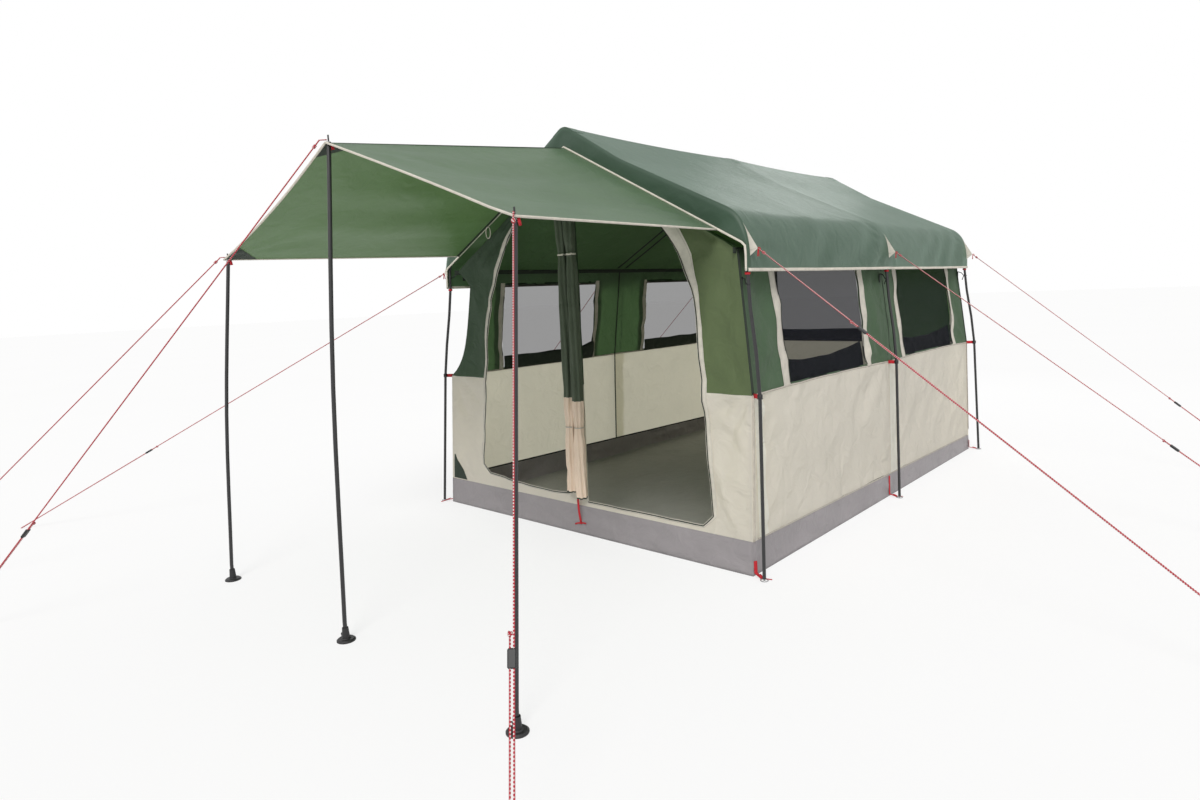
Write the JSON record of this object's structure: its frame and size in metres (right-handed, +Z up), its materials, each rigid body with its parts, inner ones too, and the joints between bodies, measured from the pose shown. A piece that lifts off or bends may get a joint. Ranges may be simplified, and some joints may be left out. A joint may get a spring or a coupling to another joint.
{
  "type": "family tent",
  "caption": "Family tent: cabin on pole arches with a pitched fly, bathtub floor, double arched door, net windows, porch canopy on upright poles and guy ropes with sliders.",
  "frame": {"origin": "on the ground under the middle of the cabin's floor", "axes": "+Z up, -Y out of the door towards the porch, +X to the right of someone in the porch who faces the cabin"},
  "size_m": [5.8603, 5.6737, 2.1],
  "materials": {
    "frame_pole": "satin black coated tube",
    "hub_plastic": "moulded black plastic",
    "foot_plastic": "moulded black plastic",
    "slider_plastic": "moulded black plastic",
    "groundsheet": "grey woven groundsheet",
    "wall_cloth": "beige polyester, green above the waist seam",
    "roof_cloth": "green polyester",
    "window_net": "fine black net",
    "window_curtain": "dark green polyester",
    "door_panel": "rolled polyester, green above and beige below",
    "fly_cloth": "coated grey-green polyester",
    "canopy_cloth": "coated green polyester",
    "guy_rope": "red and white braid"
  },
  "bodies": {
    "tent": {"leg_front_left": "frame_pole", "leg_front_right": "frame_pole", "leg_middle_left": "frame_pole", "leg_middle_right": "frame_pole", "leg_rear_left": "frame_pole", "leg_rear_right": "frame_pole", "roof_pole_front_left": "frame_pole", "roof_pole_front_right": "frame_pole", "roof_pole_middle_left": "frame_pole", "roof_pole_middle_right": "frame_pole", "roof_pole_rear_left": "frame_pole", "roof_pole_rear_right": "frame_pole", "hub_front": "hub_plastic", "hub_middle": "hub_plastic", "hub_rear": "hub_plastic", "ridge_pole_front": "frame_pole", "ridge_pole_rear": "frame_pole", "porch_pole_left": "frame_pole", "porch_pole_centre": "frame_pole", "porch_pole_right": "frame_pole", "floor_tub": "groundsheet", "front_wall": "wall_cloth", "rear_wall": "wall_cloth", "left_wall": "wall_cloth", "right_wall": "wall_cloth", "inner_roof": "roof_cloth", "window_net_left_front": "window_net", "window_net_left_rear": "window_net", "window_net_right_front": "window_net", "window_net_right_rear": "window_net", "door_roll_left": "door_panel", "door_roll_right": "door_panel", "fly": "fly_cloth", "porch_canopy": "canopy_cloth", "guy_front_left": "guy_rope", "guy_front_right": "guy_rope", "guy_middle_left": "guy_rope", "guy_middle_right": "guy_rope", "guy_rear_left": "guy_rope", "guy_rear_right": "guy_rope", "guy_porch_left": "guy_rope", "guy_porch_centre": "guy_rope", "guy_porch_right": "guy_rope"},
    "slider_front_left": {"guy_slider_front_left": "slider_plastic"},
    "slider_front_right": {"guy_slider_front_right": "slider_plastic"},
    "slider_middle_left": {"guy_slider_middle_left": "slider_plastic"},
    "slider_middle_right": {"guy_slider_middle_right": "slider_plastic"},
    "slider_rear_left": {"guy_slider_rear_left": "slider_plastic"},
    "slider_rear_right": {"guy_slider_rear_right": "slider_plastic"},
    "slider_porch_left": {"guy_slider_porch_left": "slider_plastic"},
    "slider_porch_centre": {"guy_slider_porch_centre": "slider_plastic"},
    "slider_porch_right": {"guy_slider_porch_right": "slider_plastic"},
    "curtain_left_front": {"window_curtain_left_front": "window_curtain"},
    "curtain_left_rear": {"window_curtain_left_rear": "window_curtain"},
    "curtain_right_front": {"window_curtain_right_front": "window_curtain"},
    "curtain_right_rear": {"window_curtain_right_rear": "window_curtain"},
    "foot_left": {"porch_foot_left": "foot_plastic"},
    "foot_centre": {"porch_foot_centre": "foot_plastic"},
    "foot_right": {"porch_foot_right": "foot_plastic"}
  },
  "joints": [
    {"name": "slider_front_left_slide", "type": "slide", "parent": "tent", "child": "slider_front_left", "axis": [0.5939, 0.6502, 0.4738], "range_m": [-0.3, 0.02]},
    {"name": "slider_front_right_slide", "type": "slide", "parent": "tent", "child": "slider_front_right", "axis": [-0.7964, 0, 0.6048], "range_m": [-0.3, 0.02]},
    {"name": "slider_middle_left_slide", "type": "slide", "parent": "tent", "child": "slider_middle_left", "axis": [0.7216, 0, 0.6923], "range_m": [-0.3, 0.02]},
    {"name": "slider_middle_right_slide", "type": "slide", "parent": "tent", "child": "slider_middle_right", "axis": [-0.7979, 0, 0.6028], "range_m": [-0.3, 0.02]},
    {"name": "slider_rear_left_slide", "type": "slide", "parent": "tent", "child": "slider_rear_left", "axis": [0.7216, 0, 0.6923], "range_m": [-0.3, 0.02]},
    {"name": "slider_rear_right_slide", "type": "slide", "parent": "tent", "child": "slider_rear_right", "axis": [-0.7729, 0, 0.6345], "range_m": [-0.3, 0.02]},
    {"name": "slider_porch_left_slide", "type": "slide", "parent": "tent", "child": "slider_porch_left", "axis": [0.5326, 0.5326, 0.6578], "range_m": [-0.3, 0.02]},
    {"name": "slider_porch_centre_slide", "type": "slide", "parent": "tent", "child": "slider_porch_centre", "axis": [0.5182, 0.437, 0.7351], "range_m": [-0.3, 0.02]},
    {"name": "slider_porch_right_slide", "type": "slide", "parent": "tent", "child": "slider_porch_right", "axis": [-0.3386, 0.3664, 0.8666], "range_m": [-0.3, 0.02]},
    {"name": "curtain_left_front_raise", "type": "slide", "parent": "tent", "child": "curtain_left_front", "axis": [0.1316, 0, 0.9913], "range_m": [0, 0.42], "deforming": ["window_curtain_left_front"]},
    {"name": "curtain_left_rear_raise", "type": "slide", "parent": "tent", "child": "curtain_left_rear", "axis": [0.1316, 0, 0.9913], "range_m": [0, 0.42], "deforming": ["window_curtain_left_rear"]},
    {"name": "curtain_right_front_raise", "type": "slide", "parent": "tent", "child": "curtain_right_front", "axis": [-0.1316, 0, 0.9913], "range_m": [0, 0.42], "deforming": ["window_curtain_right_front"]},
    {"name": "curtain_right_rear_raise", "type": "slide", "parent": "tent", "child": "curtain_right_rear", "axis": [-0.1316, 0, 0.9913], "range_m": [0, 0.42], "deforming": ["window_curtain_right_rear"]},
    {"name": "porch_foot_left_swivel", "type": "hinge", "parent": "tent", "child": "foot_left", "pos_m": [-0.87, -3, 0], "axis": [0, 0, 1], "continuous": true},
    {"name": "porch_foot_centre_swivel", "type": "hinge", "parent": "tent", "child": "foot_centre", "pos_m": [0.165, -3, 0], "axis": [0, 0, 1], "continuous": true},
    {"name": "porch_foot_right_swivel", "type": "hinge", "parent": "tent", "child": "foot_right", "pos_m": [1.14, -3, 0], "axis": [0, 0, 1], "continuous": true}
  ]
}
